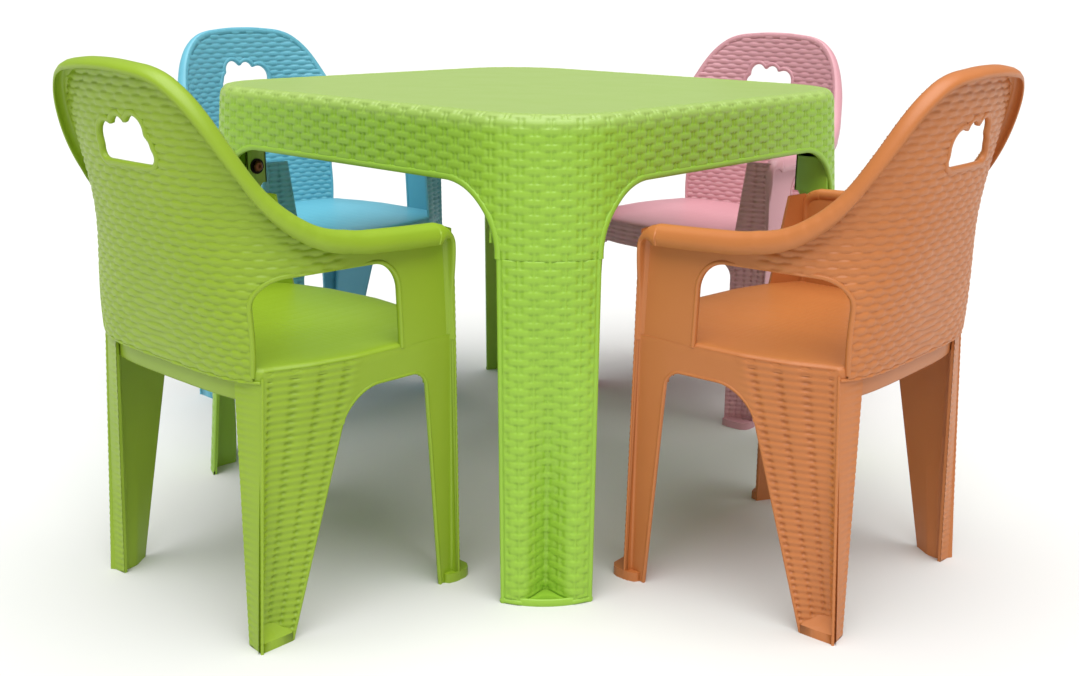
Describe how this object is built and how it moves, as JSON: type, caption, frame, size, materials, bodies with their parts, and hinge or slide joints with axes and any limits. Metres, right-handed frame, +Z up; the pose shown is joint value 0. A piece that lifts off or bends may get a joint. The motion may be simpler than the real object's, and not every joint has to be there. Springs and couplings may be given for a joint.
{
  "type": "kids table and chairs",
  "caption": "Square children's table with arched sides and splayed legs, and low armchairs with hand holes, all in plastic with a rattan weave.",
  "frame": {"origin": "on the floor under the middle of the table, which is the middle of the whole set", "axes": "+Z up; the table's sides lie along X and Y, with one chair on each side facing the table"},
  "size_m": [1.17, 1.17, 0.534],
  "materials": {
    "green_plastic": "moulded polypropylene, satin, rattan weave",
    "lime_plastic": "moulded polypropylene, satin, rattan weave",
    "apricot_plastic": "moulded polypropylene, satin, rattan weave",
    "rose_plastic": "moulded polypropylene, satin, rattan weave",
    "sky_plastic": "moulded polypropylene, satin, rattan weave",
    "screw_metal": "bronzed steel",
    "washer_metal": "blackened steel"
  },
  "bodies": {
    "table": {"table_top": "green_plastic", "table_leg_left": "green_plastic", "table_leg_near": "green_plastic", "table_leg_right": "green_plastic", "table_leg_far": "green_plastic", "leg_screw_left": "screw_metal", "leg_screw_near": "screw_metal", "leg_screw_right": "screw_metal", "leg_screw_far": "screw_metal", "leg_washer_left": "washer_metal", "leg_washer_near": "washer_metal", "leg_washer_right": "washer_metal", "leg_washer_far": "washer_metal"},
    "lime_chair": {"chair_lime": "lime_plastic"},
    "apricot_chair": {"chair_apricot": "apricot_plastic"},
    "rose_chair": {"chair_rose": "rose_plastic"},
    "sky_chair": {"chair_sky": "sky_plastic"}
  },
  "joints": [
    {"name": "lime_chair_slide", "type": "slide", "parent": "table", "child": "lime_chair", "axis": [0, -1, 0], "range_m": [-0.07, 0.3]},
    {"name": "apricot_chair_slide", "type": "slide", "parent": "table", "child": "apricot_chair", "axis": [1, 0, 0], "range_m": [-0.07, 0.3]},
    {"name": "rose_chair_slide", "type": "slide", "parent": "table", "child": "rose_chair", "axis": [0, 1, 0], "range_m": [-0.07, 0.3]},
    {"name": "sky_chair_slide", "type": "slide", "parent": "table", "child": "sky_chair", "axis": [-1, 0, 0], "range_m": [-0.07, 0.3]}
  ]
}
